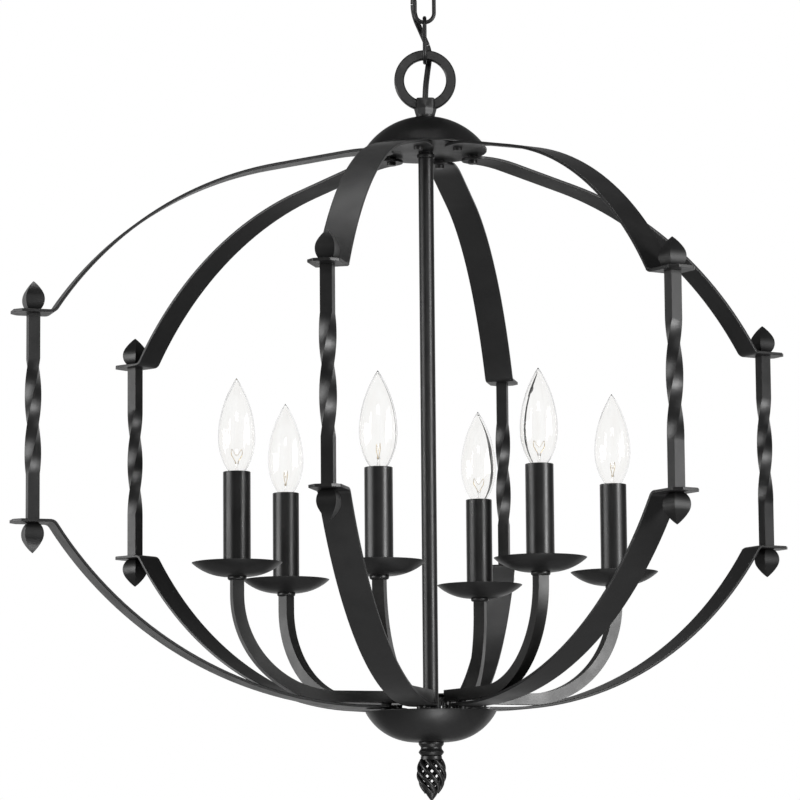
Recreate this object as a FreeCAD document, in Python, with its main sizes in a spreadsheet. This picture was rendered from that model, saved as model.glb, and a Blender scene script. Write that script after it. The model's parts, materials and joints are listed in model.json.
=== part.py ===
"""Six-candle cage chandelier hung on a short chain from a ceiling canopy.

Millimetres, +Z up. The origin is the centre of the ceiling plane that the crossbar bolts against,
so the whole fitting hangs below z = 0. Heights of the fixture are driven from the rim of the
bottom dish, which hangs `drop` below the ceiling.
"""
import FreeCAD, Part
import math
import os
import re

import Sketcher
from FreeCAD import Placement, Rotation, Vector

TURN = 360

SIZES = {
    # overall
    "drop": 696.0,
    "dome_rim": 470.0,
    "gap": 0.3,
    "cage_shift": 3.6,
    # ceiling crossbar and its hollow threaded pipe
    "bar_long": 112.0,
    "bar_wide": 18.0,
    "bar_thick": 2.5,
    "mount_spacing": 88.9,
    "slot_long": 10.0,
    "slot_radius": 2.3,
    "pipe_radius": 4.8,
    "pipe_bore": 3.2,
    "pipe_seat": 4.85,
    "canopy_pipe_long": 21.0,
    "nut_radius": 8.2,
    "nut_thick": 3.5,
    "ground_screw_radius": 2.0,
    # canopy, its loop and the screw collar
    "canopy_radius": 63.5,
    "canopy_deep": 22.0,
    "canopy_arc": 46.0,
    "canopy_flat": 26.0,
    "sheet_metal": 1.2,
    "boss_radius": 12.4,
    "boss_top": 14.0,
    "boss_low": 28.0,
    "collar_radius": 17.0,
    "collar_high": 6.0,
    "small_ring": 10.0,
    "small_ring_wire": 2.0,
    # chain
    "link_wire": 1.65,
    "link_bend": 8.0,
    "link_straight": 22.0,
    "link_seam": 0.8,
    "cord_radius": 2.45,
    "cord_hole": 3.2,
    # fixture loop
    "loop_centre": 529.5,
    "loop_outer": 25.9,
    "loop_inner": 17.6,
    "loop_thick": 5.0,
    "loop_ease": 1.0,
    "hub_top": 513.6,
    "hub_waist": 504.6,
    "hub_foot": 1.2,
    "hub_radius": 9.4,
    "hub_top_side": 14.8,
    "hub_low_side": 21.4,
    # dome, plates, rod
    "dome_top": 498.0,
    "dome_radius": 51.5,
    "top_plate_radius": 51.2,
    "plate_thick": 1.5,
    "rod_radius": 6.35,
    "rod_top": 463.0,
    "dish_radius": 54.0,
    "dish_deep": 24.8,
    "dish_arc": 46.4,
    "dish_flat": 13.0,
    "bottom_plate_radius": 51.0,
    "neck_high": 11.3,
    "neck_radius": 10.4,
    # basket finial
    "basket_high": 37.0,
    "basket_top": 8.8,
    "basket_radius": 12.4,
    "basket_widest": 0.39,
    "basket_wire": 1.9,
    "basket_bars": 8,
    "basket_turn": 200.0,
    # straps
    "strap_wide": 25.4,
    "strap_thick": 2.4,
    "strap_level": 3.4,
    "top_strap_level": 465.8,
    "tab_level": 149.4,
    "top_tab_level": 319.2,
    "strap_inner": 33.0,
    "strap_screw": 42.0,
    "strap_outer": 355.5,
    "tab_inner": 325.9,
    "tab_clip": 6.0,
    "tab_bend": 6.0,
    "hub_bend": 127.0,
    "hub_slope": 1.0,
    "hub_straight": 4.0,
    "top_hub_slope": 12.7,
    "top_straight": 62.0,
    "tab_slope": 56.6,
    "screw_radius": 2.0,
    "screw_hole": 2.2,
    "screw_head": 3.8,
    "screw_head_high": 2.4,
    "spacer_radius": 4.3,
    # twisted posts and their finials
    "post_ring": 338.0,
    "post_side": 9.5,
    "post_plain": 0.22,
    "stud_radius": 2.5,
    "stud_hole": 2.7,
    "stud_reach": 9.0,
    "leaf_high": 24.2,
    # arms and candles
    "arm_level": 7.0,
    "arm_side": 9.5,
    "arm_wall": 1.2,
    "arm_inner": 22.0,
    "arm_bend": 82.0,
    "candle_ring": 168.0,
    "sleeve_top": 191.7,
    "sleeve_radius": 11.25,
    "sleeve_bore": 10.3,
    "pan_rim": 117.4,
    "pan_radius": 37.2,
    "pan_deep": 11.4,
    "pan_arc": 42.7,
    "pan_flat": 8.7,
    "coupler_high": 3.0,
    "coupler_radius": 7.75,
    "socket_radius": 7.6,
    "socket_bore": 6.03,
    "socket_deep": 20.0,
    "socket_below": 5.0,
    "socket_foot": 6.0,
    "candle_pipe": 3.4,
    "pipe_grip": 2.4,
    "wire_radius": 1.6,
    "wire_hole": 2.6,
    "wire_ring": 14.0,
    # bulb
    "bulb_radius": 15.2,
    "bulb_neck": 6.6,
    "bulb_widest": 27.5,
    "bulb_high": 77.3,
    "bulb_tip": 0.8,
    "glass_wall": 0.7,
    "bulb_sunk": 8.0,
    "base_radius": 5.97,
    "base_low": 23.0,
}

# Each spoke is one top strap, one post and one bottom strap. The smith spread them by eye, so
# their directions are not even, and they meet `cage_shift` to the right of the rod.
# (direction of the spoke, direction of its arm, candle height trim)
SPOKES = [
    (30.5, 24.6, 3.0),
    (78.6, 75.9, 1.0),
    (140.7, 138.3, 2.5),
    (197.5, 197.0, 2.5),
    (256.2, 254.7, -8.0),
    (302.5, 299.6, -4.5),
]

# Side of a leaf finial's square section against its height, as fractions of the leaf's height.
LEAF_SECTIONS = [
    (0.0, 0.33), (0.08, 0.48), (0.22, 0.60), (0.42, 0.635), (0.57, 0.57), (0.71, 0.44), (0.86, 0.25),
    (0.95, 0.11), (1.0, 0.02),
]
TWIST_STEPS = 12
TWIST_ANGLE = 180.0
BAR_STEPS = 10

# The cord's route in the ring frame: (right, back, height above the dish rim). It rises out of the
# fixture loop, passes behind its band, up beside the chain and into the canopy loop.
CORD_ROUTE = [
    (0.0, 0.0, 507.6),
    (0.0, 0.0, 521.0),
    (2.2, 7.5, 539.0),
    (4.6, 14.0, 557.0),
    (-2.5, 14.0, 574.0),
    (-9.4, 8.4, 589.0),
    (-9.0, 7.6, 606.0),
    (-7.6, 2.6, 624.0),
    (-7.2, -3.2, 638.0),
    (-5.4, -8.6, 650.5),
    (0.0, 0.0, 663.0),
    (0.0, 0.0, 680.0),
]

doc = FreeCAD.newDocument("Chandelier")
sheet = doc.addObject("Spreadsheet::Sheet", "Sizes")
for row, (alias, amount) in enumerate(SIZES.items(), start=1):
    sheet.set(f"A{row}", alias)
    sheet.set(f"B{row}", str(amount))
    sheet.setAlias(f"B{row}", alias)
doc.recompute()


def bound(text):
    """An expression with its size names pointed at the sheet."""
    return re.sub(r"[a-z_]+", lambda m: "Sizes." + m[0] if m[0] in SIZES else m[0], str(text))


def number(text):
    """The present value of an expression in size names."""
    return float(sheet.evalExpression(bound(text)))


def bind(item, **expressions):
    """Tie an object's properties to the sheet."""
    for name, text in expressions.items():
        item.setExpression(name, bound(text))
    return item


def at(item, x="0", y="0", z="0", rotation=Rotation()):
    """Place an object by size expressions."""
    item.Placement = Placement(Vector(), rotation)
    for axis, text in (("x", x), ("y", y), ("z", z)):
        item.setExpression(f"Placement.Base.{axis}", bound(text))
    return item


def turned_by(angle, flip=False):
    """A turn about Z, after a half turn about X if the piece hangs upside down."""
    half = Rotation(Vector(1, 0, 0), 180 if flip else 0)
    return Rotation(Vector(0, 0, 1), angle).multiply(half)


def around(item, angle, radius="0", z="0", flip=False, centre="cage_shift"):
    """Stand an object on a spoke: `radius` out from the cage's centre in direction `angle`."""
    east, north = (f"({radius}) * {turn}({angle})" for turn in ("cos", "sin"))
    return at(item, f"{centre} + {east}", north, z, turned_by(angle, flip))


def cylinder(name, radius, height, z="0"):
    item = doc.addObject("Part::Cylinder", name)
    bind(item, Radius=radius, Height=height)
    return at(item, z=z)


def cone(name, low_radius, high_radius, height, z="0"):
    item = doc.addObject("Part::Cone", name)
    bind(item, Radius1=low_radius, Radius2=high_radius, Height=height)
    return at(item, z=z)


def box(name, length, width, height, z="0", x="0"):
    """A box centred on (x, 0), standing on z."""
    item = doc.addObject("Part::Box", name)
    bind(item, Length=length, Width=width, Height=height)
    return at(item, f"{x} - ({length}) / 2", f"0 - ({width}) / 2", z)


def cut(name, base, *tools):
    for count, tool in enumerate(tools):
        item = doc.addObject("Part::Cut", name if count == len(tools) - 1 else f"{name}_cut")
        item.Base, item.Tool = base, tool
        base = item
    return base


def fuse(name, *pieces):
    item = doc.addObject("Part::MultiFuse", name)
    item.Shapes = list(pieces)
    return item


def group(name, pieces):
    """Separate solids that share one node."""
    item = doc.addObject("Part::Compound", name)
    item.Links = list(pieces)
    return item


def tube(name, outer, inner, height, z="0"):
    wall = cylinder(f"{name}_wall", outer, height, z)
    return cut(name, wall, cylinder(f"{name}_bore", inner, height, z))


def arc_between(start, end, radius, side):
    """The short arc from start to end, with its centre on the left of the chord if side is 1."""
    chord = end - start
    middle = (start + end) * 0.5
    rise = math.sqrt(max(radius ** 2 - (chord.Length / 2) ** 2, 0.0))
    normal = Vector(-chord.y, chord.x, 0).normalize() * side
    centre = middle + normal * rise
    return Part.Arc(start, centre - normal * radius, end)


def outline(sketch, corners):
    """A closed outline. A corner is (x, y), or (x, y, radius, side) where an arc leads up to it."""
    points = [Vector(number(c[0]), number(c[1]), 0) for c in corners]
    edges = []
    for index, corner in enumerate(corners):
        start, end = points[index - 1], points[index]
        if len(corner) == 4:
            shape = arc_between(start, end, number(corner[2]), corner[3])
        else:
            shape = Part.LineSegment(start, end)
        edge = sketch.addGeometry(shape, False)
        flipped = sketch.getPoint(edge, 1).distanceToPoint(start) > 1e-6
        edges.append((edge, 2 if flipped else 1, 1 if flipped else 2))
    for index, corner in enumerate(corners):
        edge, _, last = edges[index]
        follower, first, _ = edges[(index + 1) % len(edges)]
        sketch.addConstraint(Sketcher.Constraint("Coincident", edge, last, follower, first))
        for kind, axis, text, at in (
            ("DistanceX", -2, corner[0], points[index].x),
            ("DistanceY", -1, corner[1], points[index].y),
        ):
            if abs(at) < 1e-9:
                sketch.addConstraint(Sketcher.Constraint("PointOnObject", edge, last, axis))
                continue
            held = sketch.addConstraint(Sketcher.Constraint(kind, -1, 1, edge, last, at))
            sketch.setExpression(f"Constraints[{held}]", bound(text))
        if len(corner) == 4:
            held = sketch.addConstraint(Sketcher.Constraint("Radius", edge, number(corner[2])))
            sketch.setExpression(f"Constraints[{held}]", bound(corner[2]))


def new_sketch(body, name, plane):
    origin_plane = next(f for f in body.Origin.OriginFeatures if f.Role == plane)
    sketch = body.newObject("Sketcher::SketchObject", name)
    sketch.AttachmentSupport = [(origin_plane, "")]
    sketch.MapMode = "FlatFace"
    return sketch


def turned(name, corners):
    """A body turned about Z from an outline of (radius, height) corners."""
    body = doc.addObject("PartDesign::Body", name)
    sketch = new_sketch(body, f"{name}_outline", "XZ_Plane")
    outline(sketch, corners)
    revolution = body.newObject("PartDesign::Revolution", f"{name}_revolution")
    revolution.Profile = sketch
    revolution.ReferenceAxis = (sketch, ["V_Axis"])
    revolution.Angle = TURN
    sketch.Visibility = False
    return body


def padded(name, corners, length, plane="XZ_Plane"):
    """A body padded both ways from its outline's plane."""
    body = doc.addObject("PartDesign::Body", name)
    sketch = new_sketch(body, f"{name}_outline", plane)
    outline(sketch, corners)
    pad = body.newObject("PartDesign::Pad", f"{name}_pad")
    pad.Profile = sketch
    pad.Midplane = True
    bind(pad, Length=length)
    return body


def pocketed(body, name, corners, length, plane="XZ_Plane"):
    """Cut an outline out of a body, both ways from the outline's plane."""
    sketch = new_sketch(body, f"{name}_outline", plane)
    outline(sketch, corners)
    before = body.Tip
    pocket = body.newObject("PartDesign::Pocket", name)
    pocket.Profile = sketch
    pocket.Midplane = True
    bind(pocket, Length=length)
    doc.recompute()
    if not pocket.Shape.Volume < before.Shape.Volume - 1e-3:
        raise RuntimeError(f"{name} cuts nothing")
    return body


# ---------------------------------------------------------------- ceiling end


def ceiling_crossbar():
    """A flat bar with two screw slots, a tapped centre and a tapped hole for the ground screw."""
    low, through = "-1.5 * bar_thick", "2 * bar_thick"
    bar = box("bar_blank", "bar_long", "bar_wide", "bar_thick", "-bar_thick")
    tools = [cylinder("crossbar_tapping", "pipe_seat", through, low)]
    for side, reach in (("left", "-mount_spacing / 2"), ("right", "mount_spacing / 2")):
        middle = box(f"{side}_slot", "slot_long - 2 * slot_radius", "2 * slot_radius", through, low, reach)
        tools.append(middle)
        for end, shift in (("near", "-"), ("far", "+")):
            round_end = cylinder(f"{side}_slot_{end}_end", "slot_radius", through)
            tools.append(at(round_end, f"{reach} {shift} (slot_long / 2 - slot_radius)", z=low))
    ground = cylinder("ground_tapping", "ground_screw_radius + 0.05", through)
    tools.append(at(ground, "mount_spacing / 4", z=low))
    return cut("ceiling_crossbar", bar, *tools)


def lock_nut(name, top):
    nut = doc.addObject("Part::Prism", f"{name}_blank")
    nut.Polygon = 6
    bind(nut, Circumradius="nut_radius", Height="nut_thick")
    low = f"{top} - nut_thick"
    return cut(name, at(nut, z=low), cylinder(f"{name}_bore", "pipe_seat", "nut_thick", low))


def crossbar_hardware():
    """The lock nut under the crossbar, the nut over the canopy loop, and the ground screw."""
    nuts = [lock_nut("upper_lock_nut", "-bar_thick"), lock_nut("lower_lock_nut", "nut_thick - boss_top")]
    shank = cylinder("ground_screw_shank", "ground_screw_radius", "bar_thick + 5", "-bar_thick - 5")
    head = cylinder("ground_screw_head", "2 * ground_screw_radius", "2.2", "-bar_thick - 7.2")
    screw = at(fuse("ground_screw", shank, head), "mount_spacing / 4")
    return group("crossbar_hardware", [*nuts, screw])


def canopy_pipe():
    return tube("canopy_pipe", "pipe_radius", "pipe_bore", "canopy_pipe_long", "-1 - canopy_pipe_long")


def canopy_shell():
    """A pressed bowl, open to the ceiling, with a hole that slides down over the loop."""
    low = "-canopy_deep"
    return turned("canopy_shell", [
        ("boss_radius + 0.5", low),
        ("canopy_flat", low),
        ("canopy_radius", "0 - 2.0", "canopy_arc", 1),
        ("canopy_radius", "0"),
        ("canopy_radius - sheet_metal", "0"),
        ("canopy_radius - sheet_metal", "0 - 2.0"),
        ("canopy_flat", f"{low} + sheet_metal", "canopy_arc - sheet_metal", -1),
        ("boss_radius + 0.5", f"{low} + sheet_metal"),
    ])


def screw_collar():
    """The knurled ring that holds the canopy up."""
    top = "-canopy_deep - 0.05"
    low = f"{top} - collar_high"
    return turned("screw_collar", [
        ("boss_radius + 0.1", low),
        ("collar_radius - 2.5", low),
        ("collar_radius", f"{low} + 2.5"),
        ("collar_radius", top),
        ("boss_radius + 0.1", top),
    ])


def standing_torus(name, radius, wire, z, sweep=360, turn=90):
    """A round-wire ring, or part of one, standing in the XZ plane about (0, 0, z)."""
    ring = doc.addObject("Part::Torus", name)
    bind(ring, Radius1=radius, Radius2=wire)
    ring.Angle3 = sweep
    return at(ring, z=z, rotation=Rotation(Vector(1, 0, 0), turn))


def canopy_loop():
    """A threaded boss with a ring below it, bored for the pipe above and the cord below."""
    boss = cylinder("canopy_boss", "boss_radius", "boss_low - boss_top", "-boss_low")
    ring = standing_torus("canopy_ring", "small_ring", "small_ring_wire", "-boss_low - small_ring")
    whole = fuse("canopy_loop_blank", boss, ring)
    seat = cylinder("canopy_loop_seat", "pipe_seat", "10", "-boss_top - 10")
    hole = cylinder("canopy_loop_cord_hole", "cord_hole", "10", "-boss_low - 4.1")
    return cut("canopy_loop", whole, seat, hole)


def wire_connectors():
    """Three twist-on connectors that join the house wires inside the canopy."""
    nuts = [around(cone(f"wire_connector_{angle}", "6.2", "3.8", "15"), angle, "34", "-17.5", centre="0")
            for angle in (60, 100, 240)]
    return group("wire_connectors", nuts)


# ---------------------------------------------------------------- chain and cord


def chain_link(name, bottom_bar, edge_on):
    """A link bent from round wire, with its seam in one leg. bottom_bar is its lower bar's height."""
    low = f"{bottom_bar} + link_bend - drop"
    pieces = [
        standing_torus(f"{name}_low_bend", "link_bend", "link_wire", low, 180, -90),
        standing_torus(f"{name}_high_bend", "link_bend", "link_wire", f"{low} + link_straight", 180, 90),
        at(cylinder(f"{name}_leg", "link_wire", "link_straight"), "link_bend", z=low),
    ]
    half = "(link_straight - link_seam) / 2"
    for part, z in (("lower", low), ("upper", f"{low} + (link_straight + link_seam) / 2")):
        pieces.append(at(cylinder(f"{name}_{part}_leg", "link_wire", half), "-link_bend", z=z))
    return at(fuse(name, *pieces), rotation=turned_by(90 if edge_on else 0))


def chain():
    """Three links. Each one's top bar lies over the bar above it, a small gap away."""
    step = "(2 * link_bend + link_straight - 2 * link_wire - gap)"
    first = "loop_centre + loop_inner - gap - link_wire"
    chain_link("chain_link_1", first, True)
    chain_link("chain_link_2", f"{first} + {step}", False)
    chain_link("chain_link_3", f"{first} + 2 * {step}", True)


def rounded_route(points):
    """Straight runs joined by tangent arcs, each as large as its two runs allow."""
    edges, radii = [], []
    start = points[0]
    for before, corner, after in zip(points, points[1:], points[2:]):
        inward = (corner - before).normalize()
        outward = (after - corner).normalize()
        half_turn = inward.getAngle(outward) / 2
        reach = 0.45 * min(before.distanceToPoint(corner), corner.distanceToPoint(after))
        radii.append(reach / math.tan(half_turn))
        enter, leave = corner - inward * reach, corner + outward * reach
        bisector = (outward - inward).normalize()
        centre = corner + bisector * (radii[-1] / math.cos(half_turn))
        edges.append(Part.LineSegment(start, enter).toShape())
        edges.append(Part.Arc(enter, centre - bisector * radii[-1], leave).toShape())
        start = leave
    edges.append(Part.LineSegment(start, points[-1]).toShape())
    return Part.Wire(edges), radii


def supply_cord():
    drop = number("drop")
    points = [Vector(x, y, z - drop) for x, y, z in CORD_ROUTE]
    path, radii = rounded_route(points)
    radius = number("cord_radius")
    start = Part.Wire(Part.makeCircle(radius, points[0], points[1] - points[0]))
    cord = doc.addObject("Part::Feature", "supply_cord")
    cord.Shape = path.makePipeShell([start], True, False)
    expected = path.Length * math.pi * radius ** 2
    print("cord length", round(path.Length, 1), "volume ratio", round(cord.Shape.Volume / expected, 4))
    print("cord bend radii", [round(r, 1) for r in radii])
    return cord


# ---------------------------------------------------------------- rod, dome and dish


def faceted_loft(name, sections):
    """A loft through polygons: (sides, circumradius, height, spin) each, sizes as expressions."""
    rings = []
    for index, (sides, radius, z, spin) in enumerate(sections):
        ring = doc.addObject("Part::RegularPolygon", f"{name}_ring_{index}")
        ring.Polygon = sides
        bind(ring, Circumradius=radius)
        rings.append(at(ring, z=z, rotation=turned_by(spin)))
    loft = doc.addObject("Part::Loft", name)
    loft.Sections = rings
    loft.Solid = True
    return loft


def fixture_loop():
    """A flat forged ring with eased edges on a hub cut with shield facets, screwed to the rod's pipe."""
    half, ease = "loop_thick / 2", "loop_ease"
    band = turned("loop_band", [
        ("loop_inner", f"{ease} - {half}"),
        (f"loop_inner + {ease}", f"0 - {half}"),
        (f"loop_outer - {ease}", f"0 - {half}"),
        ("loop_outer", f"{ease} - {half}"),
        ("loop_outer", f"{half} - {ease}"),
        (f"loop_outer - {ease}", half),
        (f"loop_inner + {ease}", half),
        ("loop_inner", f"{half} - {ease}"),
    ])
    at(band, z="loop_centre - drop", rotation=Rotation(Vector(1, 0, 0), 90))
    low, high = "dome_top + hub_foot - drop", "hub_top - drop"
    block = faceted_loft("loop_hub_block", [
        (4, "hub_low_side / sqrt(2)", low, 45),
        (4, "hub_top_side / sqrt(2)", high, 45),
    ])
    barrel = faceted_loft("loop_hub_barrel", [
        (8, "hub_radius - 1.5", low, 0),
        (8, "hub_radius", "hub_waist - drop", 0),
        (8, "hub_radius", high, 0),
    ])
    barrel.Ruled = True
    facets = doc.addObject("Part::Common", "loop_hub")
    facets.Base, facets.Tool = block, barrel
    foot = cylinder("loop_hub_foot", "hub_radius - 1.4", "hub_foot + 0.5", "dome_top - drop")
    seat = cylinder("fixture_loop_seat", "pipe_seat", "9.1", "dome_top - 0.1 - drop")
    hole = cylinder("fixture_loop_cord_hole", "cord_hole", "7", "hub_top - 6.9 - drop")
    return cut("fixture_loop", fuse("fixture_loop_blank", band, facets, foot), seat, hole)


def top_dome():
    """A spherical cap over the top plate."""
    rise = "(dome_top - dome_rim)"
    cap = f"((dome_radius ^ 2 + {rise} ^ 2) / (2 * {rise}))"
    inner = f"({cap} - sheet_metal)"
    centre = f"(dome_top - {cap} - drop)"
    rim = "dome_rim - drop"
    return turned("top_dome", [
        ("pipe_seat", f"{centre} + sqrt({inner} ^ 2 - pipe_seat ^ 2)"),
        (f"sqrt({inner} ^ 2 - ({cap} - {rise}) ^ 2)", rim, inner, -1),
        ("dome_radius", rim),
        ("pipe_seat", f"{centre} + sqrt({cap} ^ 2 - pipe_seat ^ 2)", cap, 1),
    ])


def plate(name, radius, z, small_holes):
    """A round plate with its centre hole and small (radius, distance, angle) holes."""
    holes = [cylinder(f"{name}_centre", "pipe_seat", "plate_thick", z)]
    for index, (hole_radius, distance, angle) in enumerate(small_holes):
        hole = cylinder(f"{name}_hole_{index}", hole_radius, "plate_thick")
        holes.append(around(hole, angle, distance, z))
    return cut(name, cylinder(f"{name}_disc", radius, "plate_thick", z), *holes)


def rod_and_plates():
    """The hub: a plate at each end of the rod, with threaded pipes and a collar."""
    tapped = "screw_radius + 0.05"
    plate("top_plate", "top_plate_radius", "dome_rim - plate_thick - drop",
          [(tapped, "strap_screw", spoke) for spoke, _, _ in SPOKES])
    plate("bottom_plate", "bottom_plate_radius", "-plate_thick - drop",
          [(tapped, "strap_screw", turn) for _, turn, _ in SPOKES]
          + [("wire_hole", "wire_ring", turn) for _, turn, _ in SPOKES])
    tube("centre_rod", "rod_radius", "pipe_seat", "rod_top", "-drop")
    upper = tube("upper_pipe", "pipe_radius", "pipe_bore", "66", "441 - drop")
    lower = tube("lower_pipe_plain", "pipe_radius", "pipe_bore", "62.5", "-41 - drop")
    window = cylinder("lower_pipe_window", "2.4", "3 * pipe_radius")
    at(window, x="-1.5 * pipe_radius", z="-9 - drop", rotation=Rotation(Vector(0, 1, 0), 90))
    group("rod_pipes", [upper, cut("lower_pipe", lower, window)])
    turned("rod_collar", [
        ("pipe_seat", "rod_top - drop"),
        ("rod_radius + 1.1", "rod_top - drop"),
        ("rod_radius + 1.1", "rod_top + 3 - drop"),
        ("rod_radius - 0.2", "rod_top + 3.8 - drop"),
        ("rod_radius - 0.2", "dome_rim - plate_thick - drop"),
        ("pipe_seat", "dome_rim - plate_thick - drop"),
    ])


def bowl(name, rim_radius, deep, arc, flat, z, hole="pipe_seat"):
    """A pressed dish: a flat floor with a hole, and a curved wall up to a plain rim."""
    floor = f"{z} - {deep}"
    inner_rim = f"{rim_radius} - 1.5 * sheet_metal"
    return turned(name, [
        (hole, floor),
        (flat, floor),
        (rim_radius, z, arc, 1),
        (inner_rim, z),
        (flat, f"{floor} + sheet_metal", f"{arc} - sheet_metal", -1),
        (hole, f"{floor} + sheet_metal"),
    ])


def finial_neck():
    top = "-dish_deep - drop"
    low = f"{top} - neck_high"
    return turned("finial_neck", [
        ("pipe_seat", low),
        ("neck_radius - 2", low),
        ("neck_radius", f"{low} + 2.6"),
        ("neck_radius", f"{low} + 3.4"),
        ("neck_radius - 1.7", f"{low} + 5.6"),
        ("neck_radius - 1.7", f"{low} + 7.2"),
        ("neck_radius", f"{low} + 9.4"),
        ("neck_radius", top),
        ("pipe_seat", top),
    ])


def basket_outside(along):
    """The basket's outer radius at a fraction of its height, from its top to its point."""
    top, bulge, widest = number("basket_top"), number("basket_radius"), number("basket_widest")
    if along < widest:
        return top + (bulge - top) * math.sin(math.pi / 2 * along / widest)
    return bulge * math.cos(math.pi / 2 * (along - widest) / (1 - widest)) ** 0.9


def basket_bar(index):
    """One bar of the basket: a round wire on a bulging left-handed helix."""
    top = -number("dish_deep + neck_high + drop")
    high, wire = number("basket_high"), number("basket_wire")
    turn = math.radians(number("basket_turn"))
    start = math.radians(TURN * index / number("basket_bars"))
    points = []
    for step in range(BAR_STEPS + 1):
        along = 0.1 + 0.7 * step / BAR_STEPS
        out = basket_outside(along) - wire
        angle = start + turn * along
        points.append(Vector(out * math.cos(angle), out * math.sin(angle), top - high * along))
    curve = Part.BSplineCurve()
    curve.interpolate(points)
    path = Part.Wire(curve.toShape())
    ring = Part.Wire(Part.makeCircle(wire, points[0], curve.tangent(curve.FirstParameter)[0]))
    bar = doc.addObject("Part::Feature", f"basket_bar_{index}")
    bar.Shape = path.makePipeShell([ring], True, True)
    return bar


def basket_finial():
    """Twisted bars between a screwed cap and a point, all forged together."""
    top = "-dish_deep - neck_high - drop"
    cap = turned("basket_cap", [
        ("0", f"{top} - 6.6"),
        ("5.6", f"{top} - 6.4"),
        ("basket_top", f"{top} - 3.2"),
        ("basket_top", f"{top} - 0.6"),
        ("basket_top - 0.6", top),
        ("0", top),
    ])
    low = f"{top} - basket_high"
    tip = turned("basket_tip", [
        ("0", low),
        ("0.6", f"{low} + 0.3"),
        ("3.6", f"{low} + 4.2"),
        ("6.2", f"{low} + 8.6"),
        ("5.2", f"{low} + 10.4"),
        ("0", f"{low} + 11.2"),
    ])
    bars = [basket_bar(index) for index in range(int(number("basket_bars")))]
    whole = fuse("basket_finial_blank", cap, tip, *bars)
    seat = cylinder("basket_finial_seat", "pipe_seat", "5.2", f"{top} - 5.1")
    return cut("basket_finial", whole, seat)


# ---------------------------------------------------------------- cage


def strap_face(offset, rise, slope, straight):
    """Corners along one face of a strap, `offset` above its centreline, with each bend's radius.

    It leaves the hub level, bends to `slope`, runs straight, follows the great arc of the cage and
    is level again at the tab. The great arc's radius follows from the rise.
    """
    great = (f"(({rise} - hub_bend * (1 - cos({slope})) - {straight} * sin({slope})"
             f" - tab_bend * (1 - cos(tab_slope))) / (cos({slope}) - cos(tab_slope)))")
    start = (f"(tab_inner - tab_bend * sin(tab_slope) - {great} * (sin(tab_slope) - sin({slope}))"
             f" - {straight} * cos({slope}) - hub_bend * sin({slope}))")
    bend_x = f"{start} + (hub_bend - {offset}) * sin({slope})"
    bend_y = f"hub_bend - (hub_bend - {offset}) * cos({slope})"
    return [
        ("strap_inner - 5", offset, None),
        (start, offset, None),
        (bend_x, bend_y, f"hub_bend - {offset}"),
        (f"{bend_x} + {straight} * cos({slope})", f"{bend_y} + {straight} * sin({slope})", None),
        (f"tab_inner - (tab_bend + {offset}) * sin(tab_slope)",
         f"{rise} - tab_bend + (tab_bend + {offset}) * cos(tab_slope)", f"{great} - {offset}"),
        ("tab_inner", f"{rise} + {offset}", f"tab_bend + {offset}"),
        ("strap_outer + 5", f"{rise} + {offset}", None),
    ]


def strap_side(rise, slope, straight):
    """The strap seen from the side: out along its lower face and back along its upper one."""
    lower = strap_face("(0 - strap_thick / 2)", rise, slope, straight)
    upper = strap_face("(strap_thick / 2)", rise, slope, straight)
    sides = (None, None, 1, None, 1, -1, None)
    corners = [(x, y) if bend is None else (x, y, bend, side) for (x, y, bend), side in zip(lower, sides)]
    back_bends = [bend for _, _, bend in upper[1:]] + [None]
    back_sides = list(sides[1:]) + [None]
    for (x, y, _), bend, side in reversed(list(zip(upper, back_bends, back_sides))):
        corners.append((x, y) if bend is None else (x, y, bend, -side))
    return corners


def strap_plan(name, rise):
    """The strap seen from above: a round inner end and a tab with clipped corners."""
    half = "strap_wide / 2"
    return padded(name, [
        (f"strap_inner + {half}", f"0 - {half}", half, 1),
        ("strap_outer - tab_clip", f"0 - {half}"),
        ("strap_outer", f"tab_clip - {half}"),
        ("strap_outer", f"{half} - tab_clip"),
        ("strap_outer - tab_clip", half),
        (f"strap_inner + {half}", half),
        ("strap_inner", "0", half, 1),
    ], f"2.4 * {rise}", "XY_Plane")


def strap(name, angle, level, rise, slope, straight, screw_turn=0.0, flip=False):
    """A flat bar bent over the cage, with a screw hole at the hub and a stud hole in its tab."""
    bent = padded(f"{name}_bar", strap_side(rise, slope, straight), "strap_wide")
    trimmed = doc.addObject("Part::Common", f"{name}_trimmed")
    trimmed.Base, trimmed.Tool = bent, strap_plan(f"{name}_plan", rise)
    through, low = "6 * strap_thick", "-3 * strap_thick"
    screw = cylinder(f"{name}_screw_hole", "screw_hole", through)
    around(screw, screw_turn, "strap_screw", low, centre="0")
    stud = at(cylinder(f"{name}_stud_hole", "stud_hole", through), "post_ring", z=f"{rise} {low}")
    return around(cut(name, trimmed, screw, stud), angle, z=f"{level} - drop", flip=flip)


def twisted_post(index, angle):
    """A square bar, plain at both ends and twisted half a turn in the middle, with end studs."""
    name = f"twisted_post_{index}"
    low = "(tab_level + strap_thick / 2 - drop)"
    long = "(top_tab_level - tab_level - strap_thick)"
    corner = "post_side / sqrt(2)"
    pieces = [
        box(f"{name}_foot", "post_side", "post_side", f"post_plain * {long}", low),
        box(f"{name}_head", "post_side", "post_side", f"post_plain * {long}",
            f"{low} + (1 - post_plain) * {long}"),
    ]
    sections = []
    for step in range(TWIST_STEPS + 1):
        share = step / TWIST_STEPS
        z = f"{low} + (post_plain + {share} * (1 - 2 * post_plain)) * {long}"
        sections.append((4, corner, z, 45 + TWIST_ANGLE * share))
    pieces.append(faceted_loft(f"{name}_twist", sections))
    for end, z in (("low", f"{low} - stud_reach"), ("high", f"{low} + {long}")):
        pieces.append(cylinder(f"{name}_{end}_stud", "stud_radius", "stud_reach", z))
    return around(fuse(name, *pieces), angle, "post_ring")


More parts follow.
